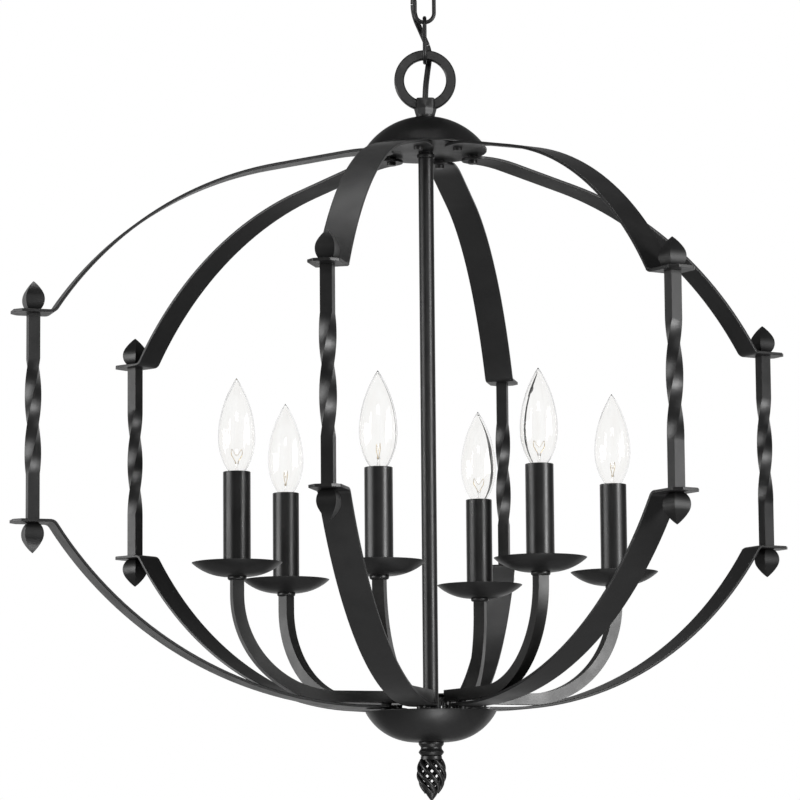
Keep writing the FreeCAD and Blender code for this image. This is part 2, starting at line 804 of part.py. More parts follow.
def post_finials():
    """Square leaf points, one screwed on each end of each post."""
    leaves = []
    for index, (angle, _, _) in enumerate(SPOKES, start=1):
        for end, z, flip in (
            ("upper", "top_tab_level + strap_thick / 2 - drop", False),
            ("lower", "tab_level - strap_thick / 2 - drop", True),
        ):
            name = f"{end}_leaf_{index}"
            loft = faceted_loft(f"{name}_loft", [
                (4, f"{side} * leaf_high / sqrt(2)", f"{share} * leaf_high", 45)
                for share, side in LEAF_SECTIONS
            ])
            seat = cylinder(f"{name}_seat", "stud_radius + 0.05", "stud_reach - strap_thick + 0.6", "-0.1")
            leaves.append(around(cut(name, loft, seat), angle, "post_ring", z, flip))
    return group("post_finials", leaves)


def strap_fasteners():
    """A screw and its spacers for each strap's inner end, at both plates."""
    half = "strap_thick / 2"
    spacers = (
        ("top", 0, f"top_strap_level + {half}", "dome_rim - plate_thick"),
        ("bottom", 1, "0", f"strap_level - {half}"),
        ("arm", 1, f"strap_level + {half}", "arm_level"),
    )
    screws = (
        ("top", 0, f"top_strap_level - {half}", "dome_rim + 2"),
        ("bottom", 1, "0 - plate_thick", "arm_level + 2 * arm_wall"),
    )
    pieces = []
    for index, angles in enumerate(SPOKES, start=1):
        for end, which, low, high in spacers:
            spacer = tube(f"{end}_spacer_{index}", "spacer_radius", "screw_hole", f"{high} - ({low})")
            pieces.append(around(spacer, angles[which], "strap_screw", f"{low} - drop"))
        for end, which, low, high in screws:
            head = cylinder(f"{end}_screw_head_{index}", "screw_head", "screw_head_high", "-screw_head_high")
            shank = cylinder(f"{end}_screw_shank_{index}", "screw_radius", f"{high} - ({low})")
            screw = fuse(f"{end}_strap_screw_{index}", head, shank)
            pieces.append(around(screw, angles[which], "strap_screw", f"{low} - drop"))
    return group("strap_fasteners", pieces)


# ---------------------------------------------------------------- arms and candles


def arm_outline(inset, reach):
    """Side view of an arm, `inset` inside its faces and running `reach` past its ends."""
    low = f"(arm_level + {inset})"
    high = f"(arm_level + arm_side - {inset})"
    near = f"(candle_ring - arm_side / 2 + {inset})"
    far = f"(candle_ring + arm_side / 2 - {inset})"
    start = "(candle_ring - arm_bend)"
    bend_top = "(arm_level + arm_side / 2 + arm_bend)"
    end = f"(pan_rim - pan_deep - coupler_high + {reach})"
    return [
        (f"arm_inner - {reach}", low),
        (start, low),
        (far, bend_top, f"arm_bend + arm_side / 2 - {inset}", 1),
        (far, end),
        (near, end),
        (near, bend_top),
        (start, high, f"arm_bend - arm_side / 2 + {inset}", -1),
        (f"arm_inner - {reach}", high),
    ]


def raised(corners, trim):
    """Lift the corners at an arm's candle end by its height trim."""
    return [(x, f"{y} + {trim}" if "pan_rim" in y else y, *rest) for x, y, *rest in corners]


def arm(index, angle, trim):
    """A square tube: level over its strap, then bent up to carry a candle."""
    name = f"arm_{index}"
    body = padded(f"{name}_tube", raised(arm_outline("0", "0"), trim), "arm_side")
    pocketed(body, f"{name}_bore", raised(arm_outline("arm_wall", "2"), trim), "arm_side - 2 * arm_wall")
    hole = cylinder(f"{name}_screw_hole", "screw_radius + 0.05", "3 * arm_wall")
    at(hole, "strap_screw", z="arm_level - arm_wall")
    return around(cut(name, body, hole), angle, z="-drop")


def pan_coupler(index):
    """The tapered seat between an arm and its pan."""
    return turned(f"pan_coupler_{index}", [
        ("candle_pipe + 0.1", "0"),
        ("coupler_radius - 1.1", "0"),
        ("coupler_radius", "1"),
        ("coupler_radius", "coupler_high"),
        ("candle_pipe + 0.1", "coupler_high"),
    ])


def candle_socket(index):
    """A cup for the bulb's screw base, seated on the end of the candle pipe."""
    wall = cylinder(f"candle_socket_wall_{index}", "socket_radius", "socket_deep + socket_foot")
    cup = cylinder(f"candle_socket_cup_{index}", "socket_bore", "socket_deep + 0.1", "socket_foot")
    seat = cylinder(f"candle_socket_seat_{index}", "candle_pipe + 0.1", "pipe_grip")
    return cut(f"candle_socket_{index}", wall, cup, seat)


def candles():
    """Couplers, pipes, pans, sleeves and sockets, one of each for each arm."""
    floor = "(pan_rim - pan_deep)"
    socket_low = "(sleeve_top - socket_below - socket_deep - socket_foot)"
    pipe_low = f"({floor} - coupler_high - 6)"
    sleeve_low = f"({floor} + sheet_metal + 0.1)"
    makers = {
        "pan_couplers": (pan_coupler, f"{floor} - coupler_high"),
        "candle_pipes": (lambda index: tube(
            f"candle_pipe_{index}", "candle_pipe", "candle_pipe - 1", f"{socket_low} + pipe_grip - {pipe_low}",
        ), pipe_low),
        "drip_pans": (lambda index: bowl(
            f"drip_pan_{index}", "pan_radius", "pan_deep", "pan_arc", "pan_flat", "0", "candle_pipe + 0.1",
        ), "pan_rim"),
        "candle_sleeves": (lambda index: tube(
            f"candle_sleeve_{index}", "sleeve_radius", "sleeve_bore", f"sleeve_top - {sleeve_low}",
        ), sleeve_low),
        "candle_sockets": (candle_socket, socket_low),
    }
    for name, (make, z) in makers.items():
        group(name, [around(make(index), angle, "candle_ring", f"{z} + {trim} - drop")
                     for index, (_, angle, trim) in enumerate(SPOKES, start=1)])


def arm_wires(index, angle, trim):
    """One arm's pair: up through the bottom plate, into the arm's open end and round its bend."""
    middle = number("arm_level + arm_side / 2")
    inner, ring, bend = number("wire_ring"), number("candle_ring"), number("arm_bend")
    low, top = -8.0, number("pan_rim - pan_deep - coupler_high") + trim - 7.0
    slant = math.sqrt(0.5)
    turns = [(inner + 6.0, middle - 6.0, 6.0, -slant, slant), (ring - bend, middle + bend, bend, slant, -slant)]
    runs, last = [], Vector(inner, 0, low)
    for (x, z, radius, out, up), enter, leave in zip(
        turns,
        (Vector(inner, 0, middle - 6.0), Vector(ring - bend, 0, middle)),
        (Vector(inner + 6.0, 0, middle), Vector(ring, 0, middle + bend)),
    ):
        runs.append(Part.LineSegment(last, enter).toShape())
        runs.append(Part.Arc(enter, Vector(x + radius * out, 0, z + radius * up), leave).toShape())
        last = leave
    runs.append(Part.LineSegment(last, Vector(ring, 0, top)).toShape())
    section = Part.Wire(Part.makeCircle(number("wire_radius"), Vector(inner, 0, low), Vector(0, 0, 1)))
    wire = doc.addObject("Part::Feature", f"arm_wires_{index}")
    wire.Shape = Part.Wire(runs).makePipeShell([section], True, False)
    return around(wire, angle, z="-drop")


def fixture_wires():
    """The pair in each arm and the bundle up the rod."""
    pairs = [arm_wires(index, angle, trim) for index, (_, angle, trim) in enumerate(SPOKES, start=1)]
    return group("fixture_wires", [*pairs, cylinder("rod_wires", "2.2", "516", "-10 - drop")])


def bulb(index, angle, trim):
    """A pointed candle bulb: glass, screw base and the stem that carries the filament."""
    name = f"bulb_{index}"
    neck, wide, tip = "bulb_neck", "bulb_radius", "bulb_tip"
    lower = f"((({wide} - {neck}) ^ 2 + bulb_widest ^ 2) / (2 * ({wide} - {neck})))"
    tall = "(bulb_high - bulb_widest)"
    upper = f"((({wide} - {tip}) ^ 2 + {tall} ^ 2) / (2 * ({wide} - {tip})))"
    glass = turned(f"{name}_glass", [
        (f"{neck} - 0.9", "-bulb_sunk"),
        (f"{neck} - 0.9", "-bulb_sunk + 1.5"),
        (neck, "0"),
        (wide, "bulb_widest", lower, 1),
        (tip, "bulb_high", upper, 1),
        ("0", "bulb_high"),
        ("0", "bulb_high - 4"),
        (f"{wide} - glass_wall", "bulb_widest", f"{upper} - 6", -1),
        (f"{neck} - glass_wall", "0", f"{lower} - glass_wall", -1),
        (f"{neck} - 0.9 - glass_wall", "-bulb_sunk + 1.5"),
        (f"{neck} - 0.9 - glass_wall", "-bulb_sunk"),
    ])
    base = turned(f"{name}_base", [
        ("0", "-base_low"),
        ("3", "-base_low"),
        ("base_radius", "-base_low + 3"),
        ("base_radius", "-bulb_sunk"),
        ("0", "-bulb_sunk"),
    ])
    stem = turned(f"{name}_stem", [
        ("0", "-bulb_sunk"),
        ("3.6", "-bulb_sunk"),
        ("1.6", "6"),
        ("0", "6"),
    ])
    whole = group(name, [glass, base, stem])
    return around(whole, angle, "candle_ring", f"sleeve_top + {trim} - drop")


NODES = ["ceiling_crossbar", "crossbar_hardware", "canopy_pipe", "canopy_shell", "screw_collar", "canopy_loop",
         "wire_connectors", "chain_link_1", "chain_link_2", "chain_link_3", "supply_cord", "fixture_loop",
         "top_dome", "top_plate", "rod_collar", "centre_rod", "rod_pipes", "bottom_plate", "bottom_dish",
         "finial_neck", "basket_finial", "post_finials", "strap_fasteners", "pan_couplers", "candle_pipes",
         "drip_pans", "candle_sleeves", "candle_sockets", "fixture_wires"]


def build():
    ceiling_crossbar()
    crossbar_hardware()
    canopy_pipe()
    canopy_shell()
    screw_collar()
    canopy_loop()
    wire_connectors()
    chain()
    supply_cord()
    fixture_loop()
    top_dome()
    rod_and_plates()
    bowl("bottom_dish", "dish_radius", "dish_deep", "dish_arc", "dish_flat", "-drop")
    finial_neck()
    basket_finial()
    post_finials()
    strap_fasteners()
    candles()
    fixture_wires()
    for index, (spoke, arm_turn, trim) in enumerate(SPOKES, start=1):
        strap(f"top_strap_{index}", spoke, "top_strap_level", "(top_strap_level - top_tab_level)",
              "top_hub_slope", "top_straight", flip=True)
        strap(f"bottom_strap_{index}", spoke, "strap_level", "(tab_level - strap_level)",
              "hub_slope", "hub_straight", screw_turn=arm_turn - spoke)
        twisted_post(index, spoke)
        arm(index, arm_turn, trim)
        bulb(index, arm_turn, trim)
        NODES.extend(f"{part}_{index}" for part in ("top_strap", "bottom_strap", "twisted_post", "arm", "bulb"))


def check_and_export():
    doc.recompute()
    broken = [item.Name for item in doc.Objects if {"Invalid", "Error"} & set(item.State)]
    if broken:
        raise RuntimeError(f"objects failed: {broken}")
    os.makedirs("parts", exist_ok=True)
    for name in NODES:
        item = doc.getObjectsByLabel(name)[0]
        if item.Shape.isNull() or not item.Shape.isValid():
            raise RuntimeError(f"{name} has no valid shape")
        item.Shape.exportStep(f"parts/{name}.step")
        bounds = item.Shape.BoundBox
        print(f"{name:20s} solids {len(item.Shape.Solids):3d} volume {item.Shape.Volume:10.1f}"
              f" z {bounds.ZMin:8.2f} {bounds.ZMax:8.2f}")


build()
check_and_export()
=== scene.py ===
"""Looks of the cage chandelier: materials, bulbs, cord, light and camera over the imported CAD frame."""
import json
import math

import bpy
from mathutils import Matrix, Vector


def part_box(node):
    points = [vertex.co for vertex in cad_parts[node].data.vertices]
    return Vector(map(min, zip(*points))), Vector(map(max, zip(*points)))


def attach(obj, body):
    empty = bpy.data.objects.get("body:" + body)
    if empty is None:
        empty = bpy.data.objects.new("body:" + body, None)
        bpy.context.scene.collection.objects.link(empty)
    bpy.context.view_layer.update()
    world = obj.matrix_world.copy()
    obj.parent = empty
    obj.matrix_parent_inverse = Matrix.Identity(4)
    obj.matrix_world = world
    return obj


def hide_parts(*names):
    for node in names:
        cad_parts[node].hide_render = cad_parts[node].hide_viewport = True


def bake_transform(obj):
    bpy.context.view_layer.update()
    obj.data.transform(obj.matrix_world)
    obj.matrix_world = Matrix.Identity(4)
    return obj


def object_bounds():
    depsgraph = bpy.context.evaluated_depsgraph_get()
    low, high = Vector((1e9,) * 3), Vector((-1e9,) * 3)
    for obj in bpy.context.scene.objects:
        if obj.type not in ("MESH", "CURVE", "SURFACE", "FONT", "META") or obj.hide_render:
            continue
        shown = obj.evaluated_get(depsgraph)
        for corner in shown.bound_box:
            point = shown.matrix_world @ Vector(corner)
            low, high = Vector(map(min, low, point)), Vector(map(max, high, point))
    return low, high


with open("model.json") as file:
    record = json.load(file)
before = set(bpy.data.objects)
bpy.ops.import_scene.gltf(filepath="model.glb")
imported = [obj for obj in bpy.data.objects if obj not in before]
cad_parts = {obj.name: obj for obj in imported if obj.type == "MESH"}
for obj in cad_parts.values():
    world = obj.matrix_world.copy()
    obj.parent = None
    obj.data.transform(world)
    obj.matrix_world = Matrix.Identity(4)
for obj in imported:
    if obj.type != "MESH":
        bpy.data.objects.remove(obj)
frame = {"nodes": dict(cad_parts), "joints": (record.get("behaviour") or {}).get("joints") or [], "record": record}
cad_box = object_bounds()

MM = 0.001
DROP = 0.696                       # ceiling to the rim of the bottom dish
SPOKES = range(1, 7)

# The cord's route from the fixture's hub up to the canopy's loop, in millimetres right, back and
# above the dish's rim, as in the CAD.
CORD_ROUTE = [
    (0.0, 0.0, 507.6),
    (0.0, 0.0, 521.0),
    (2.2, 7.5, 539.0),
    (4.6, 14.0, 557.0),
    (-2.5, 14.0, 574.0),
    (-9.4, 8.4, 589.0),
    (-9.0, 7.6, 606.0),
    (-7.6, 2.6, 624.0),
    (-7.2, -3.2, 638.0),
    (-5.4, -8.6, 650.5),
    (0.0, 0.0, 663.0),
    (0.0, 0.0, 680.0),
]
CORD_DIAMETER = 4.9 * MM
STRETCH_OVERLAP = 0.4 * MM         # how far each stretch of cord runs into the next

# A bulb's glass: half widths, and heights above the top of its sleeve.
BULB_NECK = 6.6 * MM
BULB_WIDE = 15.2 * MM
BULB_WIDEST_AT = 27.5 * MM
BULB_TALL = 77.3 * MM
GLASS_THICK = 0.7 * MM
HOLLOW_TOP = 74.5 * MM

# The parts inside and below the glass, in millimetres: half widths, and heights above the sleeve.
STEM = [(3.4, -7.8), (3.3, -5.0), (1.9, -1.0), (1.3, 3.0), (1.2, 6.0), (1.6, 7.2), (1.0, 8.2), (0.0, 8.4)]
BASE_TIP = [(0.0, -22.9), (2.4, -22.8), (3.0, -22.4)]
BASE_RIM = [(5.9, -8.05), (0.0, -8.05)]
THREAD_LOW, THREAD_LONG, THREAD_PITCH = -22.0, 13.9, 2.6
THREAD_RADIUS, THREAD_DEPTH = 5.80, 0.14
SUPPORT = [(0.7, 6.5), (1.8, 9.5), (4.4, 13.5), (4.8, 16.0)]
SUPPORT_RADIUS = 0.24 * MM
FILAMENT_HALF, FILAMENT_HEIGHT, FILAMENT_WAVE = 4.8, 16.0, 2.4
COIL_RADIUS, COIL_TURNS, COIL_WIRE = 0.32 * MM, 26, 0.09 * MM

MIDDLE = (0, 0, -0.45)             # near the cage's middle, where the side lights aim
FLOOR_BELOW = 3.0                  # how far the floor lies below the fixture's lowest point
CAMERA_PLACE = (-0.0233, -3.2507, -0.1794 - DROP)
CAMERA_TILT_UP, CAMERA_ROLL = 7.68, -0.48


# ---------------------------------------------------------------- materials


class Nodes:
    """A material's node tree, with short calls for the nodes used here."""

    def __init__(self, name, **constants):
        self.material = bpy.data.materials.new(name)
        self.material.use_nodes = True
        self.tree = self.material.node_tree
        self.shader = self.tree.nodes["Principled BSDF"]
        for socket, value in constants.items():
            self.shader.inputs[socket.replace("_", " ")].default_value = value
        self.place = self.add("ShaderNodeTexCoord").outputs["Object"]

    def add(self, kind, **settings):
        node = self.tree.nodes.new(kind)
        for name, value in settings.items():
            setattr(node, name, value)
        return node

    def join(self, source, target):
        self.tree.links.new(source, target)

    def stretched(self, scale):
        mapping = self.add("ShaderNodeMapping")
        mapping.inputs["Scale"].default_value = scale
        self.join(self.place, mapping.inputs["Vector"])
        return mapping.outputs["Vector"]

    def noise(self, scale, detail=4.0, roughness=0.55, vector=None):
        noise = self.add("ShaderNodeTexNoise")
        noise.inputs["Scale"].default_value = scale
        noise.inputs["Detail"].default_value = detail
        noise.inputs["Roughness"].default_value = roughness
        self.join(vector or self.place, noise.inputs["Vector"])
        return noise.outputs["Fac"]

    def spread(self, source, low, high, start=0.3, end=0.7):
        """Map a 0 to 1 value on to the range low to high."""
        node = self.add("ShaderNodeMapRange")
        for socket, value in (("From Min", start), ("From Max", end), ("To Min", low), ("To Max", high)):
            node.inputs[socket].default_value = value
        self.join(source, node.inputs["Value"])
        return node.outputs["Result"]

    def ramp(self, source, *stops):
        node = self.add("ShaderNodeValToRGB")
        elements = node.color_ramp.elements
        while len(elements) < len(stops):
            elements.new(0.5)
        for element, (position, color) in zip(elements, stops):
            element.position = position
            element.color = (*color, 1.0)
        self.join(source, node.inputs["Fac"])
        return node.outputs["Color"]

    def mixed(self, factor, first, second):
        node = self.add("ShaderNodeMix", data_type="RGBA")
        self.join(factor, node.inputs["Factor"])
        self.join(first, node.inputs["A"])
        self.join(second, node.inputs["B"])
        return node.outputs["Result"]

    def bump(self, height, distance, strength, under=None):
        node = self.add("ShaderNodeBump")
        node.inputs["Distance"].default_value = distance
        node.inputs["Strength"].default_value = strength
        self.join(height, node.inputs["Height"])
        if under:
            self.join(under, node.inputs["Normal"])
        return node.outputs["Normal"]

    def feed(self, **sources):
        for socket, source in sources.items():
            self.join(source, self.shader.inputs[socket.replace("_", " ")])
        return self.material


def black_paint(name, peel_scale, sheen_low, sheen_high, forged_scale):
    """Satin black paint: soft orange peel, faint dust in its tone and rubbed edges."""
    nodes = Nodes(name, Specular_IOR_Level=0.42)
    cloud = nodes.noise(38.0, 3.0)
    grain = nodes.noise(900.0, 3.0, 0.6)
    worn = nodes.add("ShaderNodeNewGeometry").outputs["Pointiness"]
    paint = nodes.ramp(cloud, (0.3, (0.0070, 0.0070, 0.0072)), (0.75, (0.0105, 0.0104, 0.0105)))
    rubbed = nodes.ramp(grain, (0.35, (0.014, 0.0138, 0.0135)), (0.7, (0.024, 0.0236, 0.023)))
    edge = nodes.spread(worn, 0.0, 0.8, 0.52, 0.62)
    color = nodes.mixed(edge, paint, rubbed)
    rough = nodes.spread(cloud, sheen_low, sheen_high)
    peel = nodes.bump(nodes.noise(peel_scale, 2.0), 0.00012, 0.35)
    forged = nodes.bump(nodes.noise(forged_scale, 2.0, 0.4), 0.0006, 0.22, peel)
    return nodes.feed(Base_Color=color, Roughness=rough, Normal=forged)


def zinc_steel():
    """Zinc plate on stamped steel, with a faint spangle and passivation tint."""
    nodes = Nodes("zinc_plate", Metallic=1.0)
    cells = nodes.add("ShaderNodeTexVoronoi")
    cells.inputs["Scale"].default_value = 320.0
    nodes.join(nodes.place, cells.inputs["Vector"])
    tone = nodes.ramp(cells.outputs["Distance"], (0.1, (0.52, 0.52, 0.50)), (0.8, (0.66, 0.65, 0.60)))
    rough = nodes.spread(nodes.noise(160.0), 0.28, 0.46)
    return nodes.feed(Base_Color=tone, Roughness=rough, Normal=nodes.bump(nodes.noise(1400.0), 0.00004, 0.4))


def plain_plastic(name, dark, light, low, high):
    """Moulded plastic with a fine texture."""
    nodes = Nodes(name)
    tone = nodes.ramp(nodes.noise(60.0), (0.3, dark), (0.7, light))
    rough = nodes.spread(nodes.noise(220.0), low, high)
    return nodes.feed(Base_Color=tone, Roughness=rough, Normal=nodes.bump(nodes.noise(1800.0), 0.00005, 0.5))


def cord_jacket():
    """Black insulation, drawn lengthwise, with a little bloom."""
    nodes = Nodes("cord_insulation")
    streaks = nodes.noise(500.0, 2.0, vector=nodes.stretched((1.0, 1.0, 0.08)))
    tone = nodes.ramp(nodes.noise(90.0), (0.3, (0.010, 0.010, 0.010)), (0.75, (0.022, 0.022, 0.021)))
    return nodes.feed(Base_Color=tone, Roughness=nodes.spread(streaks, 0.38, 0.56),
                      Normal=nodes.bump(streaks, 0.00008, 0.5))


def bulb_glass():
    """Clear thin glass, a touch grey, with faint drawn streaks and a whisper of dust."""
    nodes = Nodes("clear_bulb_glass", IOR=1.30, Transmission_Weight=1.0)
    streaks = nodes.noise(120.0, 2.0, vector=nodes.stretched((1.0, 1.0, 0.25)))
    tone = nodes.ramp(streaks, (0.3, (0.965, 0.96, 0.95)), (0.7, (0.99, 0.99, 0.985)))
    return nodes.feed(Base_Color=tone, Roughness=nodes.spread(nodes.noise(300.0), 0.0, 0.035),
                      Normal=nodes.bump(streaks, 0.0001, 0.25))


def brass():
    """Bright brass of the bulb's screw base."""
    nodes = Nodes("bulb_base_brass", Metallic=1.0)
    tone = nodes.ramp(nodes.noise(200.0), (0.3, (0.62, 0.42, 0.16)), (0.7, (0.78, 0.57, 0.26)))
    return nodes.feed(Base_Color=tone, Roughness=nodes.spread(nodes.noise(500.0), 0.18, 0.34))


def filament_metal():
    """Thin filament wire and its brassy supports."""
    nodes = Nodes("filament_wire", Metallic=1.0)
    tone = nodes.ramp(nodes.noise(900.0), (0.3, (0.46, 0.34, 0.16)), (0.7, (0.62, 0.50, 0.30)))
    return nodes.feed(Base_Color=tone, Roughness=nodes.spread(nodes.noise(700.0), 0.3, 0.5))


def make_materials():
    return {
        "black_metal": black_paint("satin_black_paint", 1100.0, 0.34, 0.44, 60.0),
        "black_sleeve": black_paint("sleeve_black_paint", 700.0, 0.33, 0.40, 26.0),
        "dark_steel": black_paint("blackened_steel", 1500.0, 0.30, 0.44, 120.0),
        "zinc_steel": zinc_steel(),
        "socket_plastic": plain_plastic("socket_phenolic", (0.012, 0.011, 0.010), (0.022, 0.021, 0.02),
                                        0.3, 0.5),
        "connector_plastic": plain_plastic("connector_shell", (0.62, 0.24, 0.03), (0.74, 0.33, 0.06),
                                           0.35, 0.5),
        "cord_jacket": cord_jacket(),
        "wire_jacket": plain_plastic("wire_insulation", (0.012, 0.012, 0.012), (0.022, 0.022, 0.021),
                                     0.35, 0.5),
        "glass": bulb_glass(),
        "brass": brass(),
        "filament": filament_metal(),
    }


# ---------------------------------------------------------------- mesh helpers


def new_piece(name, vertices, faces, material):
    mesh = bpy.data.meshes.new(name)
    mesh.from_pydata([tuple(v) for v in vertices], [], faces)
    mesh.validate()
    piece = bpy.data.objects.new(name, mesh)
    bpy.context.scene.collection.objects.link(piece)
    mesh.materials.append(material)
    mesh.shade_smooth()
    return piece


def in_metres(points):
    return [(radius * MM, height * MM) for radius, height in points]


def lathed(name, profile, centre, material, sides=64, closed=False):
    """A surface turned about Z from (radius, height) points. A radius of 0 closes on the axis."""
    vertices, faces, rows = [], [], []
    for radius, height in profile:
        count = 1 if radius < 1e-7 else sides
        rows.append((len(vertices), count))
        for step in range(count):
            turn = math.tau * step / sides
            vertices.append(centre + Vector((radius * math.cos(turn), radius * math.sin(turn), height)))
    pairs = list(zip(rows, rows[1:])) + ([(rows[-1], rows[0])] if closed else [])
    for (low, low_count), (high, high_count) in pairs:
        for step in range(sides):
            after = (step + 1) % sides
            corners = [low + step % low_count, low + after % low_count,
                       high + after % high_count, high + step % high_count]
            face = list(dict.fromkeys(corners))
            if len(face) > 2:
                faces.append(face)
    return new_piece(name, vertices, faces, material)


def tube_along(name, points, radius, material, sides=16, section=None):
    """A tube that follows points, capped at both ends: round, or shaped by section(angle)."""
    vertices, faces = [], []
    side = Vector((1, 0, 0))
    for index, point in enumerate(points):
        ahead = points[min(index + 1, len(points) - 1)] - points[max(index - 1, 0)]
        ahead.normalize()
        side = side - ahead * side.dot(ahead)
        if side.length < 1e-6:
            side = ahead.orthogonal()
        side.normalize()
        across = ahead.cross(side)
        for step in range(sides):
            turn = math.tau * step / sides
            reach = radius * (section(turn) if section else 1.0)
            vertices.append(point + (side * math.cos(turn) + across * math.sin(turn)) * reach)
    for row in range(len(points) - 1):
        for step in range(sides):
            after = (step + 1) % sides
            faces.append([row * sides + step, row * sides + after,
                          (row + 1) * sides + after, (row + 1) * sides + step])
    faces.append(list(range(sides))[::-1])
    faces.append([(len(points) - 1) * sides + step for step in range(sides)])
    return new_piece(name, vertices, faces, material)


def soften(node, width):
    """Weld a CAD node's split edges and round its corners, as forging and paint leave them."""
    weld = node.modifiers.new("weld", "WELD")
    weld.merge_threshold = 2e-6
    bevel = node.modifiers.new("round_edges", "BEVEL")
    bevel.width = width
    bevel.segments = 3
    bevel.limit_method = "ANGLE"
    bevel.angle_limit = math.radians(35.0)
    normals = node.modifiers.new("even_shading", "WEIGHTED_NORMAL")
    normals.keep_sharp = False


# ---------------------------------------------------------------- bulbs


def bulb_outline(inset=0.0):
    """Half outline of a pointed candle bulb, from its neck to its tip, in metres from the sleeve."""
    above = BULB_TALL - BULB_WIDEST_AT
    lower = ((BULB_WIDE - BULB_NECK) ** 2 + BULB_WIDEST_AT ** 2) / (2 * (BULB_WIDE - BULB_NECK))
    upper = (BULB_WIDE ** 2 + above ** 2) / (2 * BULB_WIDE)
    collar = ((0.9, -7.9), (0.9, -6.4), (0.5, -3.0))
    outline = [(BULB_NECK - narrower * MM, z * MM) for narrower, z in collar]
    for step in range(13):
        z = BULB_WIDEST_AT * step / 12
        outline.append((BULB_WIDE - lower + math.sqrt(lower ** 2 - (BULB_WIDEST_AT - z) ** 2), z))
    for step in range(1, 25):
        z = BULB_WIDEST_AT + above * step / 24
        radius = BULB_WIDE - upper + math.sqrt(upper ** 2 - (z - BULB_WIDEST_AT) ** 2)
        outline.append((max(radius, 0.0), z))
    return [(max(radius - inset, 0.0), z - inset * (z / BULB_TALL)) for radius, z in outline]


def thread_profile():
    """The rounded thread of the screw base, from its lowest turn up."""
    heights = [THREAD_LOW + THREAD_LONG * step / 48 for step in range(49)]
    return [(THREAD_RADIUS + THREAD_DEPTH * math.cos(math.tau * (z - THREAD_LOW) / THREAD_PITCH), z)
            for z in heights]


def make_filament(index, centre, metal):
    """Two support wires and the wavy coil that hoops between them."""
    turn = math.radians(90.0 * (index % 2) + 20.0)
    across = Vector((math.cos(turn), math.sin(turn), 0))
    beside = across.cross(Vector((0, 0, 1)))
    wires = []
    for side in (-1, 1):
        points = [centre + across * (side * reach * MM) + Vector((0, 0, z * MM)) for reach, z in SUPPORT]
        wires.append(tube_along(f"bulb_support_{index}_{side + 1}", points, SUPPORT_RADIUS, metal, 8))
    coil = []
    for step in range(161):
        share = step / 160
        sway = math.tau * COIL_TURNS * share
        hoop = math.pi * share
        height = (FILAMENT_HEIGHT + FILAMENT_WAVE * math.sin(3 * hoop)) * MM
        core = centre + across * (-FILAMENT_HALF * MM * math.cos(hoop)) + Vector((0, 0, height))
        coil.append(core + across * (COIL_RADIUS * math.cos(sway)) + beside * (COIL_RADIUS * math.sin(sway)))
    wires.append(tube_along(f"bulb_filament_{index}", coil, COIL_WIRE, metal, 6))
    return wires


def make_bulb(index, materials):
    """Thin-walled glass over a glass stem, support wires, a hooped filament and a brass base."""
    low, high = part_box(f"bulb_{index}")
    centre = Vector(((low.x + high.x) / 2, (low.y + high.y) / 2, high.z - BULB_TALL))
    body = f"bulb_body_{index}"
    glass = materials["glass"]
    inner = [point for point in bulb_outline(GLASS_THICK) if point[0] > 0.0] + [(0.0, HOLLOW_TOP)]
    shell = lathed(f"bulb_glass_{index}", bulb_outline() + inner[::-1], centre, glass, 72, closed=True)
    stem = lathed(f"bulb_stem_{index}", in_metres(STEM), centre, glass, 24)
    profile = in_metres([*BASE_TIP, *thread_profile(), *BASE_RIM])
    base = lathed(f"bulb_base_{index}", profile, centre, materials["brass"], 48)
    for piece in (shell, stem, base, *make_filament(index, centre, materials["filament"])):
        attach(piece, body)
    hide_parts(f"bulb_{index}")


# ---------------------------------------------------------------- cord


def route_points():
    """Points along the smooth line that the cord's route controls."""
    curve = bpy.data.curves.new("cord_route", "CURVE")
    curve.dimensions = "3D"
    spline = curve.splines.new("NURBS")
    spline.points.add(len(CORD_ROUTE) - 1)
    for point, (x, y, z) in zip(spline.points, CORD_ROUTE):
        point.co = (x * MM, y * MM, z * MM - DROP, 1.0)
    spline.order_u = 3
    spline.use_endpoint_u = True
    spline.resolution_u = 24
    guide = bpy.data.objects.new("cord_route", curve)
    bpy.context.scene.collection.objects.link(guide)
    bpy.context.view_layer.update()
    mesh = bpy.data.meshes.new_from_object(guide)
    points = [vertex.co.copy() for vertex in mesh.vertices]
    bpy.data.objects.remove(guide)
    return points


def twin_section(turn):
    """The lamp cord's two joined conductors, as a share of half its width."""
    lobe, spread, waist = 0.51, 0.49, 0.34
    return max(spread * abs(math.cos(turn)) + math.sqrt(lobe ** 2 - (spread * math.sin(turn)) ** 2), waist)


def joint_height(name):
    return next(joint["pos_m"][2] for joint in frame["joints"] if joint["name"] == name)


def make_cord(materials):
    """The supply cord, in one stretch for each joint of the chain that it passes."""
    points = route_points()
    pivots = [joint_height(name) for name in
              ("fixture_swing", "lower_link_swing", "middle_link_swing", "upper_link_swing")]
    cuts = [(low + high) / 2 for low, high in zip(pivots, pivots[1:])]
    limits = [points[0].z - 1.0, *cuts, points[-1].z + 1.0]
    for index, pivot in enumerate(pivots):
        run = [p for p in points if limits[index] - 1e-6 <= p.z <= limits[index + 1] + STRETCH_OVERLAP]
        name = f"cord_stretch_{index + 1}"
        piece = tube_along(name, run, CORD_DIAMETER / 2, materials["cord_jacket"], 32, twin_section)
        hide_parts("supply_cord")
        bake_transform(piece)


# ---------------------------------------------------------------- stage


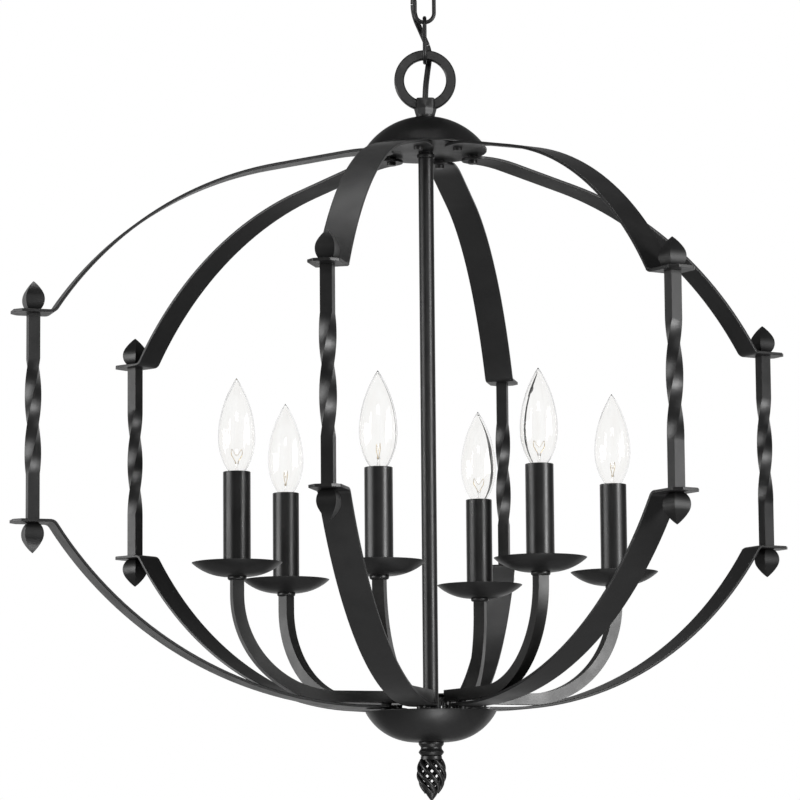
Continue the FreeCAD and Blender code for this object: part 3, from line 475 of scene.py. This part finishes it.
def area_light(name, place, aim, size, power):
    light = bpy.data.lights.new(name, "AREA")
    light.shape = "RECTANGLE"
    light.size, light.size_y = size
    light.energy = power
    lamp = bpy.data.objects.new(name, light)
    lamp.location = place
    lamp.rotation_euler = (Vector(aim) - Vector(place)).to_track_quat("-Z", "Y").to_euler()
    bpy.context.scene.collection.objects.link(lamp)


def white_room():
    """A white backdrop behind the fixture and a dimmer room in front of it, plain white to the camera."""
    world = bpy.data.worlds.new("white_room")
    world.use_nodes = True
    tree = world.node_tree

    def put(value, socket):
        if isinstance(value, float):
            socket.default_value = value
        else:
            tree.links.new(value, socket)

    def eased(source, start, end, low, high):
        node = tree.nodes.new("ShaderNodeMapRange")
        node.interpolation_type = "SMOOTHSTEP"
        names = ("Value", "From Min", "From Max", "To Min", "To Max")
        for name, value in zip(names, (source, start, end, low, high)):
            put(value, node.inputs[name])
        return node.outputs["Result"]

    def worked(operation, *values):
        node = tree.nodes.new("ShaderNodeMath")
        node.operation = operation
        for value, socket in zip(values, node.inputs):
            put(value, socket)
        return node.outputs["Value"]

    split = tree.nodes.new("ShaderNodeSeparateXYZ")
    put(tree.nodes.new("ShaderNodeTexCoord").outputs["Generated"], split.inputs["Vector"])
    behind = eased(split.outputs["Y"], 0.45, 0.85, 0.0, 0.75)
    level = eased(worked("ABSOLUTE", split.outputs["Z"]), 0.15, 0.55, 1.0, 0.08)
    glow = worked("MULTIPLY_ADD", behind, level, 0.06)
    paths = tree.nodes.new("ShaderNodeLightPath")
    straight = worked("MAXIMUM", paths.outputs["Is Camera Ray"], paths.outputs["Is Transmission Ray"])
    background = tree.nodes["Background"]
    background.inputs["Color"].default_value = (1.0, 1.0, 1.0, 1.0)
    put(worked("MAXIMUM", straight, glow), background.inputs["Strength"])
    return world


def make_stage():
    """A pale floor well below the hanging fixture, soft light and the camera."""
    bpy.ops.mesh.primitive_plane_add(size=8.0, location=(0, 0, cad_box[0].z - FLOOR_BELOW))
    floor = bpy.context.object
    floor.name = "floor"
    paper = Nodes("pale_floor", Roughness=0.9)
    tone = paper.ramp(paper.noise(3.0), (0.3, (0.93, 0.93, 0.93)), (0.7, (0.95, 0.95, 0.95)))
    floor.data.materials.append(paper.feed(Base_Color=tone))

    bpy.context.scene.world = white_room()
    bpy.context.scene.view_settings.view_transform = "Standard"

    area_light("left_softbox", (-2.4, -0.7, -0.45), MIDDLE, (1.7, 1.1), 45.0)
    area_light("right_strip", (1.9, -1.6, -0.45), MIDDLE, (0.5, 1.2), 57.0)
    area_light("low_front", (0.30, -0.9, -2.3), (0, 0, -0.72), (0.6, 0.4), 13.0)
    area_light("high_front", (0.0, -2.6, 0.95), (0, 0, -0.2), (1.0, 0.5), 16.0)
    area_light("overhead", (0.0, 0.15, 2.3), (0, 0, -0.3), (1.0, 0.9), 24.0)

    camera = bpy.data.cameras.new("camera")
    camera.lens = 177.6
    camera.sensor_width = 36.0
    camera.clip_end = 100.0
    view = bpy.data.objects.new("camera", camera)
    view.location = CAMERA_PLACE
    view.rotation_mode = "ZYX"
    view.rotation_euler = (math.radians(90.0 + CAMERA_TILT_UP), 0.0, math.radians(CAMERA_ROLL))
    bpy.context.scene.collection.objects.link(view)
    bpy.context.scene.camera = view


def main():
    materials = make_materials()
    edges = {"black_metal": 0.5 * MM, "black_sleeve": 0.35 * MM}  # how far each slot's corners are rounded
    for name, node in frame["nodes"].items():
        slot = next(s["material_slot"] for s in frame["record"]["subparts"] if s["node"] == name)
        if slot in materials:
            for index in range(len(node.material_slots)):
                node.material_slots[index].material = materials[slot]
        # the arms keep their own square corners
        if slot in edges and not name.startswith("arm_"):
            soften(node, edges[slot])
    for index in SPOKES:
        make_bulb(index, materials)
    make_cord(materials)
    make_stage()


main()
